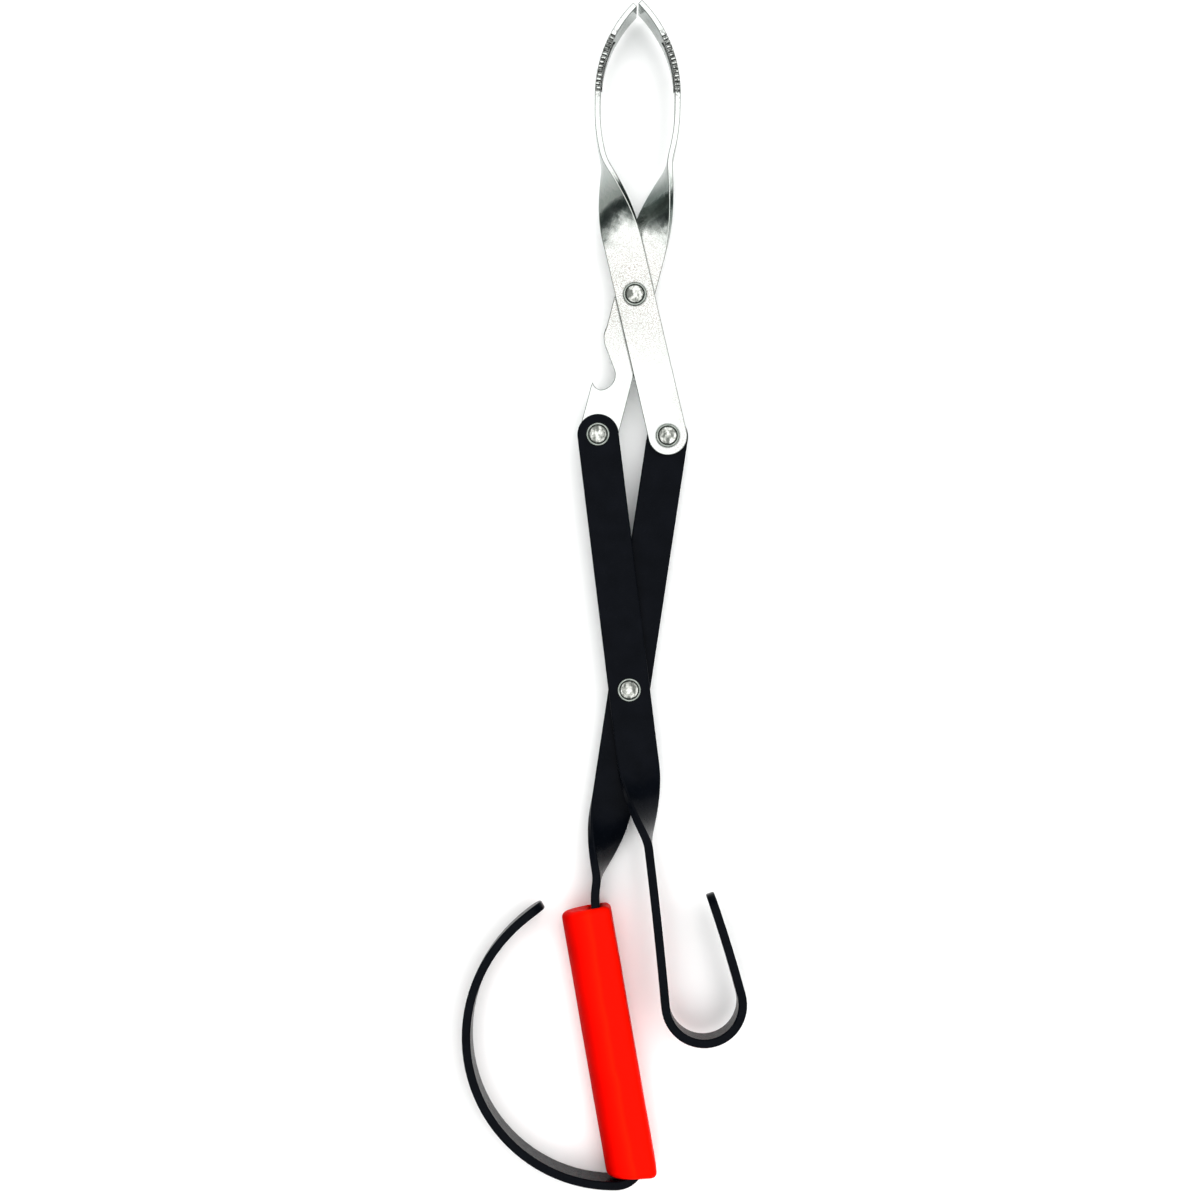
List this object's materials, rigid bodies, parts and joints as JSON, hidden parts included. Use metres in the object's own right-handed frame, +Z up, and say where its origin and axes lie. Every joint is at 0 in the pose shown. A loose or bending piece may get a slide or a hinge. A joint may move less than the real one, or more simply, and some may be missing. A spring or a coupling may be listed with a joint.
{
  "type": "jar lifter tongs",
  "caption": "Long scissor tongs for lifting jars: serrated strip jaws, coated bar handles with a sleeved grip, finger guard, thumb hook and bottle-opener notch.",
  "frame": {"origin": "middle of the underside of the closed tongs lying flat", "axes": "+Y along the tongs towards the jaw tips, +Z up through the rivets, +X towards the thumb hook"},
  "size_m": [0.1198, 0.5048, 0.0243],
  "materials": {
    "jaw_plate": "bright plated strip steel with a fine grain",
    "black_coat": "satin black powder coat",
    "red_grip": "soft satin moulded sleeve",
    "rivet_steel": "hammered rivet ends",
    "washer_steel": "zinc-plated cup washers"
  },
  "bodies": {
    "rear_handle": {"rear_handle": "black_coat", "grip_sleeve": "red_grip", "handle_pivot_rivet": "rivet_steel", "handle_pivot_washer": "washer_steel", "right_link_rivet": "rivet_steel", "right_link_washer": "washer_steel"},
    "front_handle": {"front_handle": "black_coat", "left_link_rivet": "rivet_steel", "left_link_washer": "washer_steel"},
    "front_jaw": {"front_jaw": "jaw_plate", "jaw_pivot_rivet": "rivet_steel", "jaw_pivot_washer": "washer_steel"},
    "rear_jaw": {"rear_jaw": "jaw_plate"}
  },
  "joints": [
    {"name": "handle_pivot", "type": "hinge", "parent": "rear_handle", "child": "front_handle", "pos_m": [0.00864, -0.04223, 0.0135], "axis": [0, 0, 1], "range_deg": [0, 24]},
    {"name": "right_link", "type": "hinge", "parent": "rear_handle", "child": "front_jaw", "pos_m": [0.02353, 0.06646, 0.0135], "axis": [0, 0, 1], "range_deg": [0, 35]},
    {"name": "left_link", "type": "hinge", "parent": "front_handle", "child": "rear_jaw", "pos_m": [-0.00625, 0.06646, 0.0135], "axis": [0, 0, 1], "range_deg": [-35, 0]}
  ],
  "couplings": [
    {"joint": "right_link", "follows": "handle_pivot", "ratio": 1.438},
    {"joint": "left_link", "follows": "handle_pivot", "ratio": -1.438}
  ]
}
